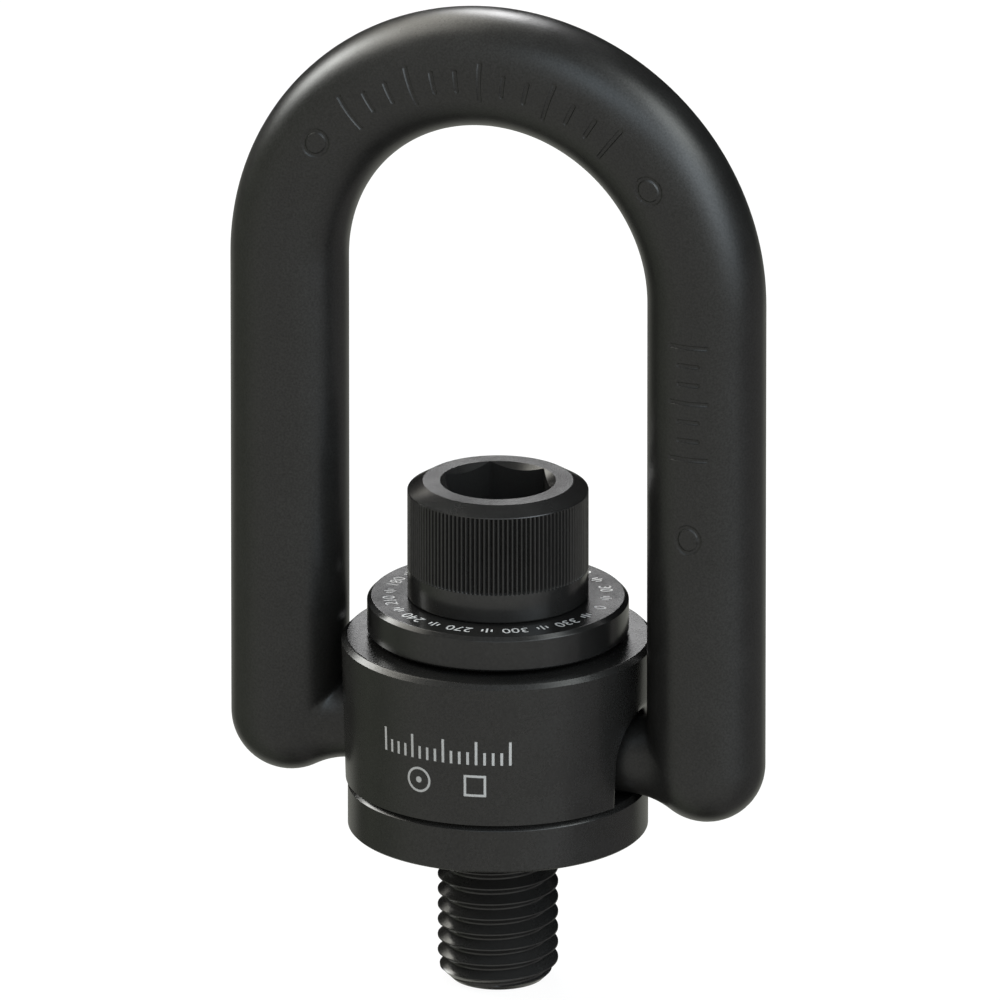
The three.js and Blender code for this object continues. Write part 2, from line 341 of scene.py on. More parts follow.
FORGED = black_steel("forged_black_steel", FORGED_TONE, 0.316, grain=1.0)
MACHINED = black_steel("machined_black_steel", MACHINED_TONE, 0.27, grain=0.1, turning=0.1)
WASHER = black_steel("washer_black_steel", WASHER_TONE, 0.20, grain=0.15, turning=0.15)
BOLT = black_steel("bolt_black_oxide", BOLT_TONE, 0.20, grain=0.15, turning=0.12)
SPRING = spring_steel("oiled_spring_steel")
BODY_ETCHING = etched_mark("etched_grey", 0.48)
WASHER_ETCHING = etched_mark("etched_white", 0.62)


# ---- Bail ----

TRUNNION_RADIUS = 6.2
TRUNNION_END_X = 15.2
TRUNNION_CHAMFER = 0.5
NECK_FILLET_RADIUS = 15.0
CREASE_BLEND = 0.6
CREASE_FADE_Z = (0.3, 4.0)
CREASE_FADE_X = (29.5, 33.0)

# The neck is a fillet circle that touches both the plain trunnion and the ball of the leg's end.
NECK_CENTRE_RADIUS = TRUNNION_RADIUS + NECK_FILLET_RADIUS
NECK_CENTRE_DISTANCE = BAR_RADIUS + NECK_FILLET_RADIUS
NECK_SWEEP = math.acos(NECK_CENTRE_RADIUS / NECK_CENTRE_DISTANCE)
NECK_START_X = LEG_X - NECK_CENTRE_DISTANCE * math.sin(NECK_SWEEP)
NECK_TANGENT_X = LEG_X - BAR_RADIUS * math.sin(NECK_SWEEP)

# The sections turn from across the trunnion to across the leg round this place.
ELBOW_X = NECK_START_X + 1.9
ELBOW_Z = TRUNNION_Z + 9.5

# How many steps the sections take, and how far apart they are where nothing is stamped.
TRUNNION_STEPS = 8
ELBOW_STEPS = 45
PLAIN_LEG_STEPS = 33
LEG_STEP = 2.0
ARCH_STEP = 1.3
PLAIN_COLUMNS = 83
HALVINGS = 40
SLIGHT = 1e-6

# Shallow generic stamps on the front of the bail, laid out along the bar (s) and across it (v).
STAMP_DEPTH = 0.26
STAMP_EDGE = 0.13
STAMP_WIDTH = 0.62
LONG_TICK = 7.4
SHORT_TICK = 4.2
STAMP_RING_RADIUS = 2.1
STAMP_STEP = 0.16
STAMP_HALF_ANGLE = math.radians(27)
STAMP_ANGLE_STEP = math.radians(1.15)
NO_STAMP = 99.0
ARCH_TICK_STEP = math.radians(6.4)
LEG_TICK_STEP = 3.1
FIRST_LEG_TICK_Z = ARCH_Z - 4.5


def tick_length(k):
    return LONG_TICK if k % 3 == 0 else SHORT_TICK


ARCH_TICKS = [(QUARTER_TURN + ARCH_TICK_STEP * k, tick_length(k)) for k in range(-6, 7)]
ARCH_RINGS = [math.radians(141.5), math.radians(36)]
LEG_TICKS = [(FIRST_LEG_TICK_Z - LEG_TICK_STEP * k, tick_length(k)) for k in range(7)]
LEG_RING_Z = ARCH_Z - 36.5


def neck_radius(x):
    """The trunnion's radius along its axis: plain, then a concave fillet, then the ball of the leg's end."""
    fillet_rise = np.sqrt(np.clip(NECK_FILLET_RADIUS ** 2 - (x - NECK_START_X) ** 2, 0, None))
    fillet = NECK_CENTRE_RADIUS - fillet_rise
    ball = np.sqrt(np.clip(BAR_RADIUS ** 2 - (x - LEG_X) ** 2, 0, None))
    return np.where(x < NECK_START_X, TRUNNION_RADIUS, np.where(x < NECK_TANGENT_X, fillet, ball))


def bail_field(points):
    """Below zero inside the bail. The crease where neck and leg meet gets a small blend that fades out.

    The bar is a flattened tube that ends in a ball below the trunnion's axis. The neck stops at the
    bar's middle.
    """
    x, y, z = np.abs(points[..., 0]), points[..., 1], points[..., 2]
    flattening = 1 - BAR_HALF_DEPTH / BAR_RADIUS
    bar_y = y / (1 - flattening)
    neck_y = y / (1 - flattening * smoothstep(NECK_START_X, NECK_TANGENT_X, x))
    in_plane = np.where(z < ARCH_Z, x - LEG_X, np.hypot(x, z - ARCH_Z) - LEG_X)
    below = np.minimum(z - TRUNNION_Z, 0)
    bar = np.sqrt(in_plane ** 2 + bar_y ** 2 + below ** 2) - BAR_RADIUS
    neck = np.hypot(neck_y, z - TRUNNION_Z) - neck_radius(x)
    neck = np.where(x > LEG_X, np.abs(neck) + BAR_RADIUS, neck)
    fade = smoothstep(*CREASE_FADE_Z, z - TRUNNION_Z) * (1 - smoothstep(*CREASE_FADE_X, x))
    blend = CREASE_BLEND * fade + SLIGHT
    closeness = np.clip(1 - np.abs(bar - neck) / blend, 0, 1)
    return np.minimum(bar, neck) - closeness ** 2 * blend / 4


def reach_of(centres, directions):
    """How far each ray runs from inside the bail to its surface, by halving."""
    near = np.zeros(directions.shape[:-1])
    far = np.full(directions.shape[:-1], 1.5 * BAR_RADIUS)
    for _ in range(HALVINGS):
        middle = (near + far) / 2
        inside = bail_field(centres + directions * middle[..., None]) < 0
        near = np.where(inside, middle, near)
        far = np.where(inside, far, middle)
    return near


def spread(start, end, coarse, zones):
    """Places from start to end: coarse apart, and the stamps' step apart in each zone (middle, half)."""
    zones = sorted((middle - half, middle + half) for middle, half in zones)
    places = [start]
    while places[-1] < end - SLIGHT:
        at = places[-1]
        in_zone = any(low - SLIGHT <= at < high - SLIGHT for low, high in zones)
        following = at + (STAMP_STEP if in_zone else coarse)
        stops = [edge for zone in zones for edge in zone if at + SLIGHT < edge < following]
        places.append(min([following, end, *stops]))
    return places


def tick_stroke(s, v, centre, length):
    """Distance to a stroke across the bar with rounded ends."""
    over = np.maximum(np.abs(v) - (length - STAMP_WIDTH) / 2, 0)
    return np.hypot(s - centre, over) - STAMP_WIDTH / 2


def ring_stroke(s, v, centre):
    return np.abs(np.hypot(s - centre, v) - STAMP_RING_RADIUS) - STAMP_WIDTH / 2


def stamp_depth(s, v, ticks, rings):
    strokes = [tick_stroke(s, v, centre, length) for centre, length in ticks]
    strokes += [ring_stroke(s, v, centre) for centre in rings]
    return STAMP_DEPTH * (1 - smoothstep(-STAMP_EDGE, STAMP_EDGE, np.min(strokes, axis=0)))


def bail_sections():
    """The bail's sections on the right leg, over the arch and down the left leg.

    Each section is (x, z, outward x, outward z), and starts at the right trunnion's end.
    """
    half = [(x, TRUNNION_Z, 0, -1) for x in [
        TRUNNION_END_X + TRUNNION_CHAMFER,
        *np.linspace(TRUNNION_END_X + 4 * TRUNNION_CHAMFER, ELBOW_X, TRUNNION_STEPS + 1)[:-1],
    ]]
    for turn in np.linspace(QUARTER_TURN, 0, ELBOW_STEPS + 1):
        share = turn / QUARTER_TURN
        reach = (LEG_X - ELBOW_X) * (1 - share) + (ELBOW_Z - TRUNNION_Z) * share
        out_x, out_z = math.cos(turn), -math.sin(turn)
        half.append((ELBOW_X + reach * out_x, ELBOW_Z + reach * out_z, out_x, out_z))

    tick_half = STAMP_WIDTH / 2 + 2 * STAMP_EDGE
    ring_half = STAMP_RING_RADIUS + tick_half
    leg_zones = [(z, tick_half) for z, _ in LEG_TICKS] + [(LEG_RING_Z, ring_half)]
    marked_leg = [(LEG_X, z, 1, 0) for z in spread(ELBOW_Z, ARCH_Z, LEG_STEP, leg_zones)[1:]]
    plain_leg = [(-LEG_X, z, -1, 0) for z in np.linspace(ELBOW_Z, ARCH_Z, PLAIN_LEG_STEPS + 1)[1:]]

    arch_zones = [(LEG_X * (math.pi - turn), tick_half) for turn, _ in ARCH_TICKS]
    arch_zones += [(LEG_X * (math.pi - turn), ring_half) for turn in ARCH_RINGS]
    arch = []
    for s in spread(0, LEG_X * math.pi, ARCH_STEP, arch_zones)[1:-1]:
        out_x, out_z = flat_point(1, math.pi - s / LEG_X)
        arch.append((LEG_X * out_x, ARCH_Z + LEG_X * out_z, out_x, out_z))
    left = [(-x, z, -out_x, out_z) for x, z, out_x, out_z in half] + plain_leg
    return half + marked_leg, arch[::-1], left[::-1]


def section_turns():
    """The turns of each section's points: fine over the stamps at the front, then on round the back."""
    front = np.arange(-STAMP_HALF_ANGLE, STAMP_HALF_ANGLE, STAMP_ANGLE_STEP) + FRONT
    shares = np.arange(1, PLAIN_COLUMNS + 1) / (PLAIN_COLUMNS + 1)
    return np.concatenate([front, front[-1] + (FULL_TURN - (front[-1] - front[0])) * shares])


def bail_piece():
    phi = section_turns()
    right, arch, left = bail_sections()
    x, z, out_x, out_z = np.array(right + arch + left).T
    centres = np.stack([x, 0 * x, z], axis=-1)
    outward = np.stack([out_x, 0 * x, out_z], axis=-1)
    across = np.array([0, 1, 0])
    rays = outward[:, None, :] * np.cos(phi)[None, :, None] + across * np.sin(phi)[None, :, None]
    reach = reach_of(centres[:, None, :], rays)

    v = BAR_RADIUS * (phi - FRONT)
    v = np.where(np.abs(v) > BAR_RADIUS * QUARTER_TURN, NO_STAMP, v)[None, :]
    depth = np.zeros_like(reach)
    leg_rows = slice(0, len(right))
    s = np.where(x[leg_rows] > LEG_X - 0.01, z[leg_rows], -NO_STAMP)[:, None]
    depth[leg_rows] = stamp_depth(s, v, LEG_TICKS, [LEG_RING_Z])
    arch_rows = slice(len(right), len(right) + len(arch))
    s = LEG_X * np.arctan2(z[arch_rows] - ARCH_Z, x[arch_rows])[:, None]
    ticks = [(LEG_X * turn, length) for turn, length in ARCH_TICKS]
    depth[arch_rows] = stamp_depth(s, v, ticks, [LEG_X * turn for turn in ARCH_RINGS])

    surface = centres[:, None, :] + rays * (reach - depth)[..., None]
    shell = Shell()
    shell.grid(surface, closed=True)
    for row, side in ((0, 1), (-1, -1)):
        middle = np.array([side * TRUNNION_END_X, 0, TRUNNION_Z])
        rim = middle + (surface[row] - centres[row]) * (1 - TRUNNION_CHAMFER / TRUNNION_RADIUS)
        shell.grid([surface[row], rim], closed=True)
        shell.polygon(rim)
    return shell.make("bail_forging", FORGED, sharp_degrees=40)


# ---- Swivel body ----

BODY_RADIUS = BODY_HIGH.x
BODY_FOOT_RADIUS = 24.05
BODY_BORE_RADIUS = 14.4
BODY_SHOULDER_Z = BODY_HIGH.z - EDGE_CHAMFER
BODY_EDGE_SOFTNESS = 0.1
BODY_BORE_CHAMFER = 0.4
BODY_TOP_MIDDLE_RADIUS = 20.0
SLOT_HALF_WIDTH = 7.0
SLOT_ROUNDING = 1.5
SLOT_OUTSIDE = SLOT_HALF_WIDTH + SLOT_ROUNDING
SLOT_ROUNDING_STEPS = 6
SLOT_ARCH_COLUMNS = 36
SIDE_COLUMNS = 72

# Shares of the way up: below the trunnion's axis, and above it with a support row under the shoulder.
LOW_SHARES = np.linspace(0, 1, 11)
HIGH_SHARES = np.array([*np.linspace(0, 1, 13)[:-1], 0.995, 1])


def body_radius(z):
    """The body's outside radius, which tapers towards its foot."""
    share = (z - BODY_LOW.z) / (BODY_SHOULDER_Z - BODY_LOW.z)
    return BODY_FOOT_RADIUS + (BODY_RADIUS - BODY_FOOT_RADIUS) * share


def on_body(y, z):
    return np.sqrt(body_radius(z) ** 2 - y ** 2)


def slot_outline(distance):
    """The slot's U at a distance from its middle: (y, z) from the foot at +y to the foot at -y."""
    rise = BODY_LOW.z + (TRUNNION_Z - BODY_LOW.z) * LOW_SHARES
    beta = np.linspace(0, math.pi, SLOT_ARCH_COLUMNS + 1)
    up = np.stack([np.full_like(rise, distance), rise], axis=-1)
    arch = np.stack([distance * np.cos(beta), TRUNNION_Z + distance * np.sin(beta)], axis=-1)
    down = np.stack([np.full_like(rise, -distance), rise[::-1]], axis=-1)
    return np.concatenate([up, arch[1:-1], down])


def slot_profile():
    """The slot's rounded edge and its wall, from the outside to the bore."""
    profile = []
    for step in range(SLOT_ROUNDING_STEPS + 1):
        turn = QUARTER_TURN * step / SLOT_ROUNDING_STEPS
        y, z = slot_outline(SLOT_OUTSIDE - SLOT_ROUNDING * math.sin(turn)).T
        profile.append(np.stack([on_body(y, z) - SLOT_ROUNDING * (1 - math.cos(turn)), y, z], axis=-1))
    wall_start = profile[-1]
    y, z = slot_outline(SLOT_HALF_WIDTH).T
    bore_edge = np.stack([np.sqrt(BODY_BORE_RADIUS ** 2 - y ** 2), y, z], axis=-1)
    for share in (0.35, 0.7, 1.0):
        profile.append(wall_start * (1 - share) + bore_edge * share)
    return np.array(profile)


def bore_wall(turns_low, turns_high, z_low, z_high, shares):
    """The bore between two rows of turns and heights."""
    return np.array([
        around(
            BODY_BORE_RADIUS,
            turns_low + (turns_high - turns_low) * share,
            z_low + (z_high - z_low) * share,
        )
        for share in shares
    ])


def body_crown(turns):
    """The top chamfer, the top face and the bore's small top chamfer."""
    top = BODY_HIGH.z
    slope = BODY_EDGE_SOFTNESS * math.sqrt(0.5)
    low_inset, high_inset = slope + EDGE_SUPPORT, EDGE_CHAMFER - slope - EDGE_SUPPORT
    chamfer_insets = (0, slope, low_inset, high_inset, EDGE_CHAMFER - slope)
    face_inset = EDGE_CHAMFER + slope
    steps = [
        *((BODY_RADIUS - inset, BODY_SHOULDER_Z + inset) for inset in chamfer_insets),
        (BODY_RADIUS - face_inset, top),
        (BODY_RADIUS - face_inset - EDGE_SUPPORT, top),
        (BODY_TOP_MIDDLE_RADIUS, top),
        (BODY_BORE_RADIUS + BODY_BORE_CHAMFER, top),
        (BODY_BORE_RADIUS, top - BODY_BORE_CHAMFER),
    ]
    return np.array([around(r, turns, z) for r, z in steps])


def body_piece():
    """A thick ring with a rounded U slot at each end of X. Half is built, then turned to give the other."""
    foot, bore_top = BODY_LOW.z, BODY_HIGH.z - BODY_BORE_CHAMFER
    profile = slot_profile()
    arch_columns = slice(len(LOW_SHARES) - 1, 1 - len(LOW_SHARES))
    _, arch_y, arch_z = profile[0][arch_columns].T
    _, bore_y, bore_z = profile[-1][arch_columns].T
    arch_turn = np.arcsin(arch_y / BODY_RADIUS)
    bore_turn = np.arcsin(bore_y / BODY_BORE_RADIUS)

    def along_side(radius, half_width):
        """Turns from this slot's edge round to the other slot's edge."""
        edge = math.asin(half_width / radius)
        return edge + (math.pi - 2 * edge) * np.linspace(0, 1, SIDE_COLUMNS + 1)

    above_slot = []
    for share in HIGH_SHARES:
        z = arch_z + (BODY_SHOULDER_Z - arch_z) * share
        above_slot.append(np.stack([on_body(arch_y, z), arch_y, z], axis=-1))
    side_heights = [
        *(foot + (TRUNNION_Z - foot) * LOW_SHARES),
        *(TRUNNION_Z + (BODY_SHOULDER_Z - TRUNNION_Z) * HIGH_SHARES[1:]),
    ]
    side_wall = []
    for z in side_heights:
        side_wall.append(around(body_radius(z), along_side(body_radius(z), SLOT_OUTSIDE), z))
    side_top = along_side(BODY_RADIUS, SLOT_OUTSIDE)
    side_bore = along_side(BODY_BORE_RADIUS, SLOT_HALF_WIDTH)

    half = Shell()
    half.grid(profile)
    half.grid(above_slot)
    half.grid(side_wall)
    half.grid(body_crown(arch_turn))
    half.grid(body_crown(side_top))
    half.grid(bore_wall(bore_turn, arch_turn, bore_z, bore_top, HIGH_SHARES))
    half.grid(bore_wall(side_bore, side_bore, foot, TRUNNION_Z, LOW_SHARES))
    half.grid(bore_wall(side_bore, side_top, TRUNNION_Z, bore_top, HIGH_SHARES))

    # The foot: quads between the outside and the bore, with the slot's profile in the first and last face.
    outer_foot = side_wall[0]
    inner_foot = around(BODY_BORE_RADIUS, side_bore, foot)
    half.grid([outer_foot[1:-1], inner_foot[1:-1]])
    slot_foot = profile[:, 0]
    half.polygon([*slot_foot, inner_foot[1], outer_foot[1]])
    half.polygon([*(slot_foot * [-1, 1, 1]), inner_foot[-2], outer_foot[-2]])

    whole = Shell()
    points = np.array(half.points)
    whole.add(points, half.faces)
    whole.add(points * [-1, -1, 1], half.faces)
    return whole.make("swivel_body_shell", MACHINED, sharp_degrees=30)


# ---- Turned pieces ----

FLANGE_RADIUS = BUSHING_HIGH.x
FLANGE_HEIGHT = 7.75
SLEEVE_RADIUS = 14.2
BOLT_BORE_RADIUS = 9.85
RING_POCKET_RADIUS = 12.3
RING_POCKET_DEPTH = 3.2
SMALL_CHAMFER = 0.3
SLEEVE_CHAMFER = 0.4
WASHER_RADIUS = WASHER_HIGH.x
WASHER_BORE_RADIUS = 10.0
WASHER_CHAMFER = 0.65
WASHER_FOOT_CHAMFER = 0.35
WASHER_BORE_CHAMFER = 0.5


def bushing_piece():
    seat, sleeve_top = BUSHING_LOW.z, BUSHING_HIGH.z
    flange_top = seat + FLANGE_HEIGHT
    pocket_roof = seat + RING_POCKET_DEPTH
    return turned("bushing_turned", [
        (RING_POCKET_RADIUS + SMALL_CHAMFER, seat, 0.05),
        (FLANGE_RADIUS - SMALL_CHAMFER, seat, 0.12),
        (FLANGE_RADIUS, seat + SMALL_CHAMFER, 0.12),
        (FLANGE_RADIUS, flange_top - EDGE_CHAMFER, 0.15),
        (FLANGE_RADIUS - EDGE_CHAMFER, flange_top, 0.15),
        (SLEEVE_RADIUS, flange_top, 0.1),
        (SLEEVE_RADIUS, sleeve_top - SLEEVE_CHAMFER, 0.1),
        (SLEEVE_RADIUS - SLEEVE_CHAMFER, sleeve_top, 0.1),
        (BOLT_BORE_RADIUS + SMALL_CHAMFER, sleeve_top, 0.1),
        (BOLT_BORE_RADIUS, sleeve_top - SMALL_CHAMFER, 0.1),
        (BOLT_BORE_RADIUS, pocket_roof, 0),
        (RING_POCKET_RADIUS, pocket_roof, 0.2),
        (RING_POCKET_RADIUS, seat + SMALL_CHAMFER, 0.05),
    ], MACHINED)


def washer_piece():
    low, high = WASHER_LOW.z, WASHER_HIGH.z
    return turned("washer_turned", [
        (WASHER_BORE_RADIUS + SMALL_CHAMFER, low, 0.1),
        (WASHER_RADIUS - WASHER_FOOT_CHAMFER, low, 0.1),
        (WASHER_RADIUS, low + WASHER_FOOT_CHAMFER, 0.1),
        (WASHER_RADIUS, high - WASHER_CHAMFER, 0.12),
        (WASHER_RADIUS - WASHER_CHAMFER, high, 0.12),
        (WASHER_BORE_RADIUS + WASHER_BORE_CHAMFER, high, 0.1),
        (WASHER_BORE_RADIUS, high - WASHER_BORE_CHAMFER, 0.1),
        (WASHER_BORE_RADIUS, low + SMALL_CHAMFER, 0.1),
    ], WASHER)


# ---- Socket head cap screw ----

THREAD_RADIUS = 9.525
THREAD_PITCH = 2.54
THREAD_DEPTH = 1.558
THREAD_CREST = THREAD_PITCH / 24
THREAD_ROOT = THREAD_PITCH / 20
THREAD_TOP_Z = 25.8
THREAD_FADE = 0.6
THREAD_FLANK_POINTS = 6
# One crest's turn and height, as the photo shows it, and the height at which a crest then passes +X.
THREAD_CREST_TURN = 200.8
THREAD_CREST_Z = 16.91
THREAD_PHASE_Z = THREAD_CREST_Z - THREAD_PITCH * THREAD_CREST_TURN / 360
TIP_RADIUS = 7.4
GROOVE_RADIUS = 8.5
GROOVE_CLEARANCE = 0.08

HEAD_RADIUS = BOLT_HIGH.x
HEAD_TOP_Z = BOLT_HIGH.z
HEAD_BOTTOM_Z = WASHER_HIGH.z + 0.05
HEAD_FOOT_ROUNDING = 0.45
HEAD_FOOT_STEPS = 5
HEAD_FLAT_RADIUS = 11.86
HEAD_CHAMFER_HEIGHT = 1.45
HEAD_SHOULDER_Z = HEAD_TOP_Z - HEAD_CHAMFER_HEIGHT

KNURL_RIDGES = 120
KNURL_DEPTH = 0.55
KNURL_END = 0.55
KNURL_END_SHARES = np.array([0, 0.05, 0.2, 0.5, 1.0])
KNURL_BOTTOM_Z = HEAD_BOTTOM_Z + 4.75
KNURL_TOP_Z = HEAD_SHOULDER_Z - 0.1

SOCKET_INSIDE_RADIUS = 15.875 / 2
SOCKET_MOUTH_RADIUS = 9.1
SOCKET_MOUTH_SLOPE = math.tan(math.radians(36))
SOCKET_GAP = 0.02
SOCKET_ROW_SHARES = (0, 0.02, 0.3, 0.65, 1.0)
SOCKET_FLOOR_INSET = 0.3
SOCKET_DEPTH = 10.5
SOCKET_TURN = math.radians(-1.5)
DRILL_POINT_RADIUS = 0.6
DRILL_POINT_DEPTH = 4.2

SHANK_COLUMNS = 120
COLUMNS_PER_RIDGE = 8
HEAD_COLUMNS = KNURL_RIDGES * COLUMNS_PER_RIDGE


def thread_rows():
    """The thread from the tip up, as rows that run up the helix and are cut off level at both ends."""
    down = [0, *np.linspace(THREAD_CREST, THREAD_PITCH / 2 - THREAD_ROOT, THREAD_FLANK_POINTS)]
    steps = [*down, *(THREAD_PITCH - at for at in down[:0:-1])]
    pitches = math.ceil(THREAD_TOP_Z / THREAD_PITCH) + 3
    start = THREAD_PHASE_Z - THREAD_PITCH * (math.ceil(THREAD_PHASE_Z / THREAD_PITCH) + 1)
    turns = np.arange(SHANK_COLUMNS + 1) / SHANK_COLUMNS
    rows = []
    for along in [pitch * THREAD_PITCH + step for pitch in range(pitches) for step in steps]:
        z = start + along + THREAD_PITCH * turns
        from_crest = abs((along + THREAD_PITCH / 2) % THREAD_PITCH - THREAD_PITCH / 2)
        flank = THREAD_PITCH / 2 - THREAD_CREST - THREAD_ROOT
        share = min(max((from_crest - THREAD_CREST) / flank, 0), 1)
        fade = 1 - smoothstep(THREAD_TOP_Z - THREAD_FADE, THREAD_TOP_Z, z)
        r = THREAD_RADIUS - THREAD_DEPTH * share * fade
        z = np.clip(z, 0, THREAD_TOP_Z)
        rows.append(around(np.minimum(r, TIP_RADIUS + z), turns * FULL_TURN, z))
    return np.array(rows)


def knurl_radius(z):
    """Straight knurling: round-bottomed grooves between plain ridges, closed at both ends."""
    phase = np.arange(HEAD_COLUMNS) / COLUMNS_PER_RIDGE * FULL_TURN
    groove = np.clip(np.cos(phase) * 0.75 + 0.25, 0, 1)
    reach = min(z - KNURL_BOTTOM_Z, KNURL_TOP_Z - z)
    rise = np.clip(reach / KNURL_END, 0, 1)
    return HEAD_RADIUS - KNURL_DEPTH * groove * math.sqrt(1 - (1 - rise) ** 2)


def hexagon_radius():
    turn = np.arange(HEAD_COLUMNS) * FULL_TURN / HEAD_COLUMNS
    from_flat = (turn % (FULL_TURN / 6)) - FULL_TURN / 12
    return np.minimum(SOCKET_INSIDE_RADIUS / np.cos(from_flat), SOCKET_MOUTH_RADIUS - SOCKET_GAP)


def head_profile():
    """The head from its foot, up the outside, over the top and down the socket: (radius, z) per ring."""
    profile = []
    foot_radius = HEAD_RADIUS - HEAD_FOOT_ROUNDING
    for turn in np.linspace(0, QUARTER_TURN, HEAD_FOOT_STEPS + 1):
        rise = HEAD_FOOT_ROUNDING * (1 - math.cos(turn))
        profile.append((foot_radius + HEAD_FOOT_ROUNDING * math.sin(turn), HEAD_BOTTOM_Z + rise))
    low_end = KNURL_BOTTOM_Z + KNURL_END * KNURL_END_SHARES
    high_end = KNURL_TOP_Z - KNURL_END * KNURL_END_SHARES[::-1]
    profile += [(knurl_radius(z), z) for z in [*low_end, *high_end]]

    # Chamfer and flat annulus. Rings close to each edge keep the faces between them flat in shading.
    slope = HEAD_CHAMFER_HEIGHT / (HEAD_RADIUS - HEAD_FLAT_RADIUS)
    for r in (HEAD_RADIUS - 0.06, HEAD_RADIUS - 0.15, HEAD_FLAT_RADIUS + 0.15, HEAD_FLAT_RADIUS):
        profile.append((r, HEAD_SHOULDER_Z + (HEAD_RADIUS - r) * slope))
    for r in (HEAD_FLAT_RADIUS - 0.15, SOCKET_MOUTH_RADIUS + 0.1, SOCKET_MOUTH_RADIUS + 0.04):
        profile.append((r, HEAD_TOP_Z))

    # The conical mouth cuts the hexagon in scallops. Below it are the walls, the floor and the drill point.
    hexagon = hexagon_radius()
    scallop = HEAD_TOP_Z - (SOCKET_MOUTH_RADIUS - hexagon) * SOCKET_MOUTH_SLOPE - SOCKET_GAP
    floor_z = HEAD_TOP_Z - SOCKET_DEPTH
    for share in SOCKET_ROW_SHARES:
        profile.append((hexagon, scallop + (floor_z - scallop) * share))
    profile.append((np.minimum(hexagon, SOCKET_INSIDE_RADIUS - SOCKET_FLOOR_INSET), floor_z))
    profile.append((DRILL_POINT_RADIUS, floor_z - DRILL_POINT_DEPTH))
    return profile


def bolt_piece():
    shell = Shell()
    rows = thread_rows()
    shell.grid(rows)
    shell.polygon(rows[0][:-1])
    groove_low, groove_high = RING_LOW.z - GROOVE_CLEARANCE, RING_HIGH.z + GROOVE_CLEARANCE
    shank = [
        (THREAD_RADIUS, THREAD_TOP_Z),
        (THREAD_RADIUS, groove_low),
        (GROOVE_RADIUS, groove_low),
        (GROOVE_RADIUS, groove_high),
        (THREAD_RADIUS, groove_high),
        (THREAD_RADIUS, HEAD_BOTTOM_Z),
    ]
    shank_rings = [ring_of(r, z, SHANK_COLUMNS) for r, z in shank]
    shell.grid(shank_rings, closed=True)
    head_rings = [ring_of(r, z, HEAD_COLUMNS, SOCKET_TURN) for r, z in head_profile()]
    shell.grid(head_rings, closed=True)
    shell.polygon(head_rings[-1])

    # The head's underside: each shank column meets a run of head columns. The socket's turn is a whole
    # number of head columns, so this ring's points fall on the head's lowest ring.
    head = ring_of(HEAD_RADIUS - HEAD_FOOT_ROUNDING, HEAD_BOTTOM_Z, HEAD_COLUMNS)
    neck = shank_rings[-1]
    run = HEAD_COLUMNS // SHANK_COLUMNS
    for i in range(SHANK_COLUMNS):
        outer = [head[(i * run + k) % HEAD_COLUMNS] for k in range(run + 1)]
        shell.polygon([*outer, neck[(i + 1) % SHANK_COLUMNS], neck[i]])
    return shell.make("bolt_machined", BOLT)


# ---- Retaining ring ----

SNAP_INNER_RADIUS = 8.65
SNAP_THIN_RADIUS = 10.3
SNAP_WIDE_RADIUS = 11.4
SNAP_GAP_HALF = math.radians(16)
SNAP_LUG_HALF = math.radians(9)
# Each point of a lug: a share of the half turn before its middle, and a radius.
SNAP_LUG_SHAPE = [(1.0, 11.2), (0.8, 11.75), (0.3, 11.9), (-0.3, 11.9), (-0.8, 11.75), (-1.0, 11.2)]
SNAP_HOLE_CENTRE_RADIUS = 10.5
SNAP_HOLE_RADIUS = 0.65
SNAP_BEVEL = 0.08
SNAP_ARC_POINTS = 90
SNAP_HOLE_POINTS = 16
CURVE_WELD = 0.0001
CURVE_SHARP_DEGREES = 30


def solid_from_curve(curve, name, height, material):
    """The curve's filled solid as a mesh piece at a height."""
    drawn = bpy.data.objects.new(name + "_outline", curve)
    bpy.context.scene.collection.objects.link(drawn)
    graph = bpy.context.evaluated_depsgraph_get()
    draft = bpy.data.meshes.new_from_object(drawn.evaluated_get(graph))
    bpy.data.objects.remove(drawn)
    work = bmesh.new()
    work.from_mesh(draft)
    bpy.data.meshes.remove(draft)
    bmesh.ops.remove_doubles(work, verts=work.verts, dist=CURVE_WELD * MM)
    bmesh.ops.translate(work, verts=work.verts, vec=(0, 0, height * MM))
    return finished(name, work, CURVE_SHARP_DEGREES, material)


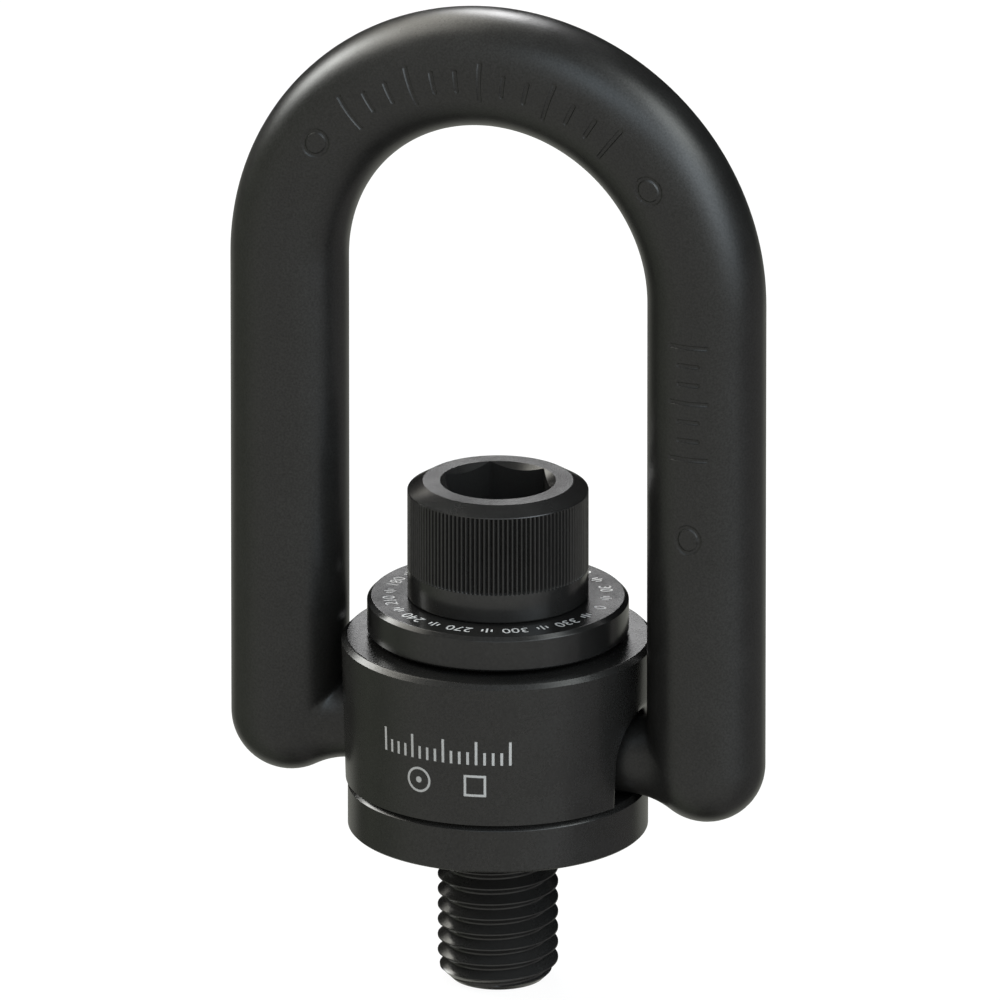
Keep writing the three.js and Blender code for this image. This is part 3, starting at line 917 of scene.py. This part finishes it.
def retaining_ring_piece():
    """An external snap ring: widest opposite its gap, with a pair of drilled lugs."""
    lug_end = SNAP_GAP_HALF + 2 * SNAP_LUG_HALF
    outer = []
    for turn in np.linspace(BACK + lug_end, BACK + FULL_TURN - lug_end, SNAP_ARC_POINTS):
        share = (1 - math.cos(turn - BACK)) / 2
        outer.append(flat_point(SNAP_THIN_RADIUS + (SNAP_WIDE_RADIUS - SNAP_THIN_RADIUS) * share, turn))
    middles = [BACK + side * (SNAP_GAP_HALF + SNAP_LUG_HALF) for side in (-1, 1)]
    lugs = [[flat_point(r, middle - SNAP_LUG_HALF * t) for t, r in SNAP_LUG_SHAPE] for middle in middles]
    inside_turns = np.linspace(BACK + FULL_TURN - SNAP_GAP_HALF, BACK + SNAP_GAP_HALF, SNAP_ARC_POINTS)
    inside = [flat_point(SNAP_INNER_RADIUS, turn) for turn in inside_turns]
    holes = []
    for turn in middles:
        holes.append(circle(SNAP_HOLE_RADIUS, SNAP_HOLE_POINTS, flat_point(SNAP_HOLE_CENTRE_RADIUS, turn)))

    curve = bpy.data.curves.new("snap_ring", "CURVE")
    curve.dimensions = "2D"
    curve.fill_mode = "BOTH"
    curve.extrude = (RING_HIGH.z - RING_LOW.z) / 2 * MM - SNAP_BEVEL * MM
    curve.bevel_depth = SNAP_BEVEL * MM
    curve.bevel_resolution = 1
    curve.offset = -SNAP_BEVEL * MM
    for loop in [[*outer, *lugs[0], *inside, *lugs[1]], *holes]:
        spline = curve.splines.new("POLY")
        spline.points.add(len(loop) - 1)
        for point, (x, y) in zip(spline.points, loop):
            point.co = (x * MM, y * MM, 0, 1)
        spline.use_cyclic_u = True
    return solid_from_curve(curve, "snap_ring", (RING_LOW.z + RING_HIGH.z) / 2, SPRING)


# ---- Etched marks: thin solids that stand just proud of the steel ----

MARK_SINK = 0.02
MARK_RISE = 0.012

SCALE_Z = 45.6
SCALE_HALF_ANGLE = math.radians(25.4)
SCALE_TICKS = 17
SCALE_LONG_EVERY = 4
SCALE_LONG = 3.9
SCALE_SHORT = 2.1
SCALE_TICK_WIDTH = 0.42
SIGNS_Z = 40.1
RING_SIGN_TURN = math.radians(-100.1)
RING_SIGN_RADII = (1.72, 2.1)
DOT_RADII = (0.25, 0.5)
SQUARE_SIGN_TURN = math.radians(-77.8)
SQUARE_SIGN_HALVES = (1.4, 1.8)
SIGN_POINTS = 48
MARK_SHARP_DEGREES = 60
MARK_WRAP_RADIUS = BODY_RADIUS - 0.3

DIAL_RADIUS = 17.1
DIAL_TEXT_SIZE = 2.9
DIAL_STEP = 30
DIAL_NUMBERS = 360 // DIAL_STEP
DIAL_CURVE_STEPS = 4
# Each tick between two numbers: degrees past the first number, and length.
DIAL_TICKS = ((12.5, 1.0), (15.0, 1.8), (17.5, 1.0))
DIAL_TICK_WIDTH = 0.3


def thin_mark(shell, upper, lower, closed=False, filled=False):
    """A thin closed mark between two like grids of points.

    closed joins the last column to the first, and filled caps the first row, which is then a small loop.
    """
    shell.grid(upper, closed)
    shell.grid(lower, closed)
    shell.grid([upper[-1], lower[-1]], closed)
    if filled:
        shell.polygon(upper[0])
        shell.polygon(lower[0])
    else:
        shell.grid([upper[0], lower[0]], closed)
    if not closed:
        shell.grid([upper[:, 0], lower[:, 0]])
        shell.grid([upper[:, -1], lower[:, -1]])


def square_loop(half):
    """A square with sides of twice the half, and four points to a side."""
    side = np.linspace(-half, half, 5)[:-1]
    bottom = [(s, -half) for s in side]
    right = [(half, s) for s in side]
    return bottom + right + [(-x, -y) for x, y in bottom] + [(-x, -y) for x, y in right]


def body_marks_piece():
    """Plain etched marks on the front: a row of scale ticks, and below it a ring with a dot and a square."""
    shell = Shell()

    def wrapped(turn, z, rows, **options):
        """rows is a grid of (across, up) places round a middle at (turn, z)."""
        across, up = np.moveaxis(np.asarray(rows, float), -1, 0)
        at = turn + across / MARK_WRAP_RADIUS
        upper = around(body_radius(z + up) + MARK_RISE, at, z + up)
        lower = around(body_radius(z + up) - MARK_SINK, at, z + up)
        thin_mark(shell, upper, lower, **options)

    thirds = (-SCALE_TICK_WIDTH / 2, 0, SCALE_TICK_WIDTH / 2)
    for k in range(SCALE_TICKS):
        length = SCALE_LONG if k % SCALE_LONG_EVERY == 0 else SCALE_SHORT
        turn = FRONT - SCALE_HALF_ANGLE + 2 * SCALE_HALF_ANGLE * k / (SCALE_TICKS - 1)
        rows = [[(across, up) for across in thirds] for up in (-length / 2, 0, length / 2)]
        wrapped(turn, SCALE_Z - (SCALE_LONG - length) / 2, rows)
    ring = [circle(r, SIGN_POINTS) for r in RING_SIGN_RADII]
    dot = [circle(r, SIGN_POINTS) for r in DOT_RADII]
    square = [square_loop(half) for half in SQUARE_SIGN_HALVES]
    wrapped(RING_SIGN_TURN, SIGNS_Z, ring, closed=True)
    wrapped(RING_SIGN_TURN, SIGNS_Z, dot, closed=True, filled=True)
    wrapped(SQUARE_SIGN_TURN, SIGNS_Z, square, closed=True)
    return shell.make("body_scale_marks", BODY_ETCHING, MARK_SHARP_DEGREES)


def dial_tick(shell, turn, length):
    """A stroke along the radius, on the washer's flat face."""
    out = np.array([math.cos(turn), math.sin(turn), 0])
    side = np.array([-math.sin(turn), math.cos(turn), 0])
    half_width = DIAL_TICK_WIDTH / 2
    ends = np.array([
        [out * (DIAL_RADIUS + along) + side * across for across in (-half_width, half_width)]
        for along in (-length / 2, length / 2)
    ])
    top = WASHER_HIGH.z
    thin_mark(shell, ends + [0, 0, top + MARK_RISE], ends + [0, 0, top - MARK_SINK])


def washer_marks_pieces():
    """A dial on the washer: a number at each step, with ticks between the numbers."""
    shell = Shell()
    for k in range(DIAL_NUMBERS):
        for offset, length in DIAL_TICKS:
            dial_tick(shell, math.radians(DIAL_STEP * k + offset), length)
    pieces = [shell.make("washer_dial_ticks", WASHER_ETCHING, MARK_SHARP_DEGREES)]
    for k in range(DIAL_NUMBERS):
        curve = bpy.data.curves.new("dial_number", "FONT")
        curve.body = str(k * DIAL_STEP)
        curve.size = DIAL_TEXT_SIZE * MM
        curve.extrude = (MARK_RISE + MARK_SINK) / 2 * MM
        curve.align_x = "CENTER"
        curve.align_y = "CENTER"
        curve.resolution_u = DIAL_CURVE_STEPS
        number = solid_from_curve(curve, f"washer_dial_{k * DIAL_STEP}", 0, WASHER_ETCHING)
        height = WASHER_HIGH.z + (MARK_RISE - MARK_SINK) / 2
        to_rim = Matrix.Rotation(k * FULL_TURN / DIAL_NUMBERS - QUARTER_TURN, 4, "Z")
        number.data.transform(to_rim @ Matrix.Translation((0, DIAL_RADIUS * MM, height * MM)))
        pieces.append(number)
    return pieces


# ---- Assembly ----

place(bail_piece(), "bail", "black_forged", "bail")
place(body_piece(), "body", "black_machined", "swivel_body")
place(bushing_piece(), "bushing", "black_machined", "flanged_bushing")
place(washer_piece(), "washer", "black_washer", "load_washer")
place(bolt_piece(), "bolt", "black_bolt", "socket_head_bolt")
place(retaining_ring_piece(), "retainer", "spring_steel", "retaining_ring")
place(body_marks_piece(), "body", "black_machined")
for mark in washer_marks_pieces():
    # The marks are left out of the reflections in the bolt's head.
    mark.visible_glossy = False
    place(mark, "washer", "black_washer")


# ---- Stage, light and camera ----

FLOOR_REACH = 40.0
FLOOR_DROP = 0.0001
FLOOR_TONE = (0.8, 0.8, 0.8, 1)
FLOOR_GLOW = 1.06
FLOOR_GLOW_SHARE = 0.88
WHITE = (1, 1, 1, 1)

# Each soft panel of the studio: azimuth and elevation, half width and half height, softness (degrees),
# strength, colour. Azimuth runs from +X towards +Y, so the front is at -90.
PANELS = [
    (0, 90, 200, 17, 20, 0.3, (1.00, 1.00, 1.00)),
    (167, 24, 10, 9, 12, 16.2, (0.99, 1.00, 0.97)),
    (114, 40, 6, 12, 8, 20.5, (0.99, 0.99, 1.00)),
    (158, 46, 36, 17, 12, 3.9, (1.00, 0.97, 0.88)),
    (4, 46, 15, 6, 23, 11.4, (0.95, 1.00, 0.98)),
    (-22, 24, 14, 19, 26, 5.4, (0.82, 0.92, 1.00)),
    (-70, 45, 24, 11, 15, 2.1, (0.70, 0.86, 1.00)),
    (-85, -4, 62, 68, 28, 0.60, (1.00, 0.99, 0.93)),
    (13, -50, 43, 44, 5, 0.24, (1.00, 0.95, 0.92)),
    (107, -39, 44, 25, 11, 0.48, (0.99, 1.00, 0.90)),
    (194, -47, 30, 60, 20, 0.26, (0.92, 1.00, 0.80)),
]

CAMERA_AZIMUTH = math.radians(20.82)
CAMERA_ELEVATION = math.radians(19.38)
CAMERA_LENS = 1600.0
CAMERA_SENSOR = 36.0
CAMERA_CLIPPING = (0.1, 60)
PICTURE_WIDTH = 0.15748
TARGET_Z = 0.07938
TARGET_SHIFT = 0.00032


def floor():
    """A plain pale floor. It takes only a hint of shade, and light reaches the object from below it."""
    reach = FLOOR_REACH
    corners = [(-reach, -reach, 0), (reach, -reach, 0), (reach, reach, 0), (-reach, reach, 0)]
    mesh = bpy.data.meshes.new("floor")
    mesh.from_pydata(corners, [], [(0, 1, 2, 3)])
    piece = bpy.data.objects.new("floor", mesh)
    bpy.context.scene.collection.objects.link(piece)
    material, n = new_material("pale_floor")
    matt = n.add("ShaderNodeBsdfDiffuse", {"Color": FLOOR_TONE})
    glow = n.add("ShaderNodeEmission", {"Color": WHITE, "Strength": FLOOR_GLOW})
    mixed = n.add("ShaderNodeMixShader", {0: FLOOR_GLOW_SHARE, 1: matt.outputs[0], 2: glow.outputs[0]})
    n.add("ShaderNodeOutputMaterial", {"Surface": mixed.outputs[0]})
    mesh.materials.append(material)
    piece.location = (0, 0, -FLOOR_DROP)
    piece.visible_diffuse = False
    piece.visible_glossy = False
    piece.visible_shadow = False


def studio():
    """White to the camera. As light it is dark with soft panels, like a product picture's black tent."""
    world = bpy.data.worlds.new("studio")
    bpy.context.scene.world = world
    world.use_nodes = True
    n = Nodes(world.node_tree)
    direction = n.add("ShaderNodeTexCoord").outputs["Generated"]
    parts = n.add("ShaderNodeSeparateXYZ", {"Vector": direction}).outputs
    azimuth = n.math("ARCTAN2", parts["Y"], parts["X"])
    elevation = n.math("ARCSINE", parts["Z"])

    def within(distance, half, soft):
        return n.span(distance, 1.0, 0.0, math.radians(half - soft), math.radians(half + soft), "SMOOTHSTEP")

    light = (0, 0, 0)
    for turn, height, half_width, half_height, soft, strength, colour in PANELS:
        offset = n.math("SUBTRACT", azimuth, math.radians(turn))
        aside = n.math("ABSOLUTE", n.math("WRAP", offset, math.pi, -math.pi))
        above = n.math("ABSOLUTE", n.math("SUBTRACT", elevation, math.radians(height)))
        share = n.math("MULTIPLY", within(aside, half_width, soft), within(above, half_height, soft))
        panel = n.scaled([c * strength for c in colour], share)
        light = n.add("ShaderNodeVectorMath", {0: light, 1: panel}).outputs["Vector"]

    seen = n.add("ShaderNodeBackground", {"Color": WHITE})
    lit = n.add("ShaderNodeBackground", {"Color": light})
    to_camera = n.add("ShaderNodeLightPath").outputs["Is Camera Ray"]
    mixed = n.add("ShaderNodeMixShader", {0: to_camera, 1: lit.outputs[0], 2: seen.outputs[0]})
    n.add("ShaderNodeOutputWorld", {"Surface": mixed.outputs[0]})


def camera():
    """A long lens that looks down at the ring from its front right, with hardly any perspective."""
    data = bpy.data.cameras.new("camera")
    data.lens = CAMERA_LENS
    data.sensor_width = CAMERA_SENSOR
    data.clip_start, data.clip_end = CAMERA_CLIPPING
    viewer = bpy.data.objects.new("camera", data)
    bpy.context.scene.collection.objects.link(viewer)
    a, e = CAMERA_AZIMUTH, CAMERA_ELEVATION
    back = Vector((math.sin(a) * math.cos(e), -math.cos(a) * math.cos(e), math.sin(e)))
    right = Vector((math.cos(a), math.sin(a), 0))
    distance = PICTURE_WIDTH * CAMERA_LENS / CAMERA_SENSOR
    viewer.location = Vector((0, 0, TARGET_Z)) + right * TARGET_SHIFT + back * distance
    viewer.rotation_mode = "QUATERNION"
    viewer.rotation_quaternion = back.to_track_quat("Z", "Y")
    bpy.context.scene.camera = viewer


floor()
studio()
camera()
bpy.context.scene.view_settings.view_transform = "Standard"
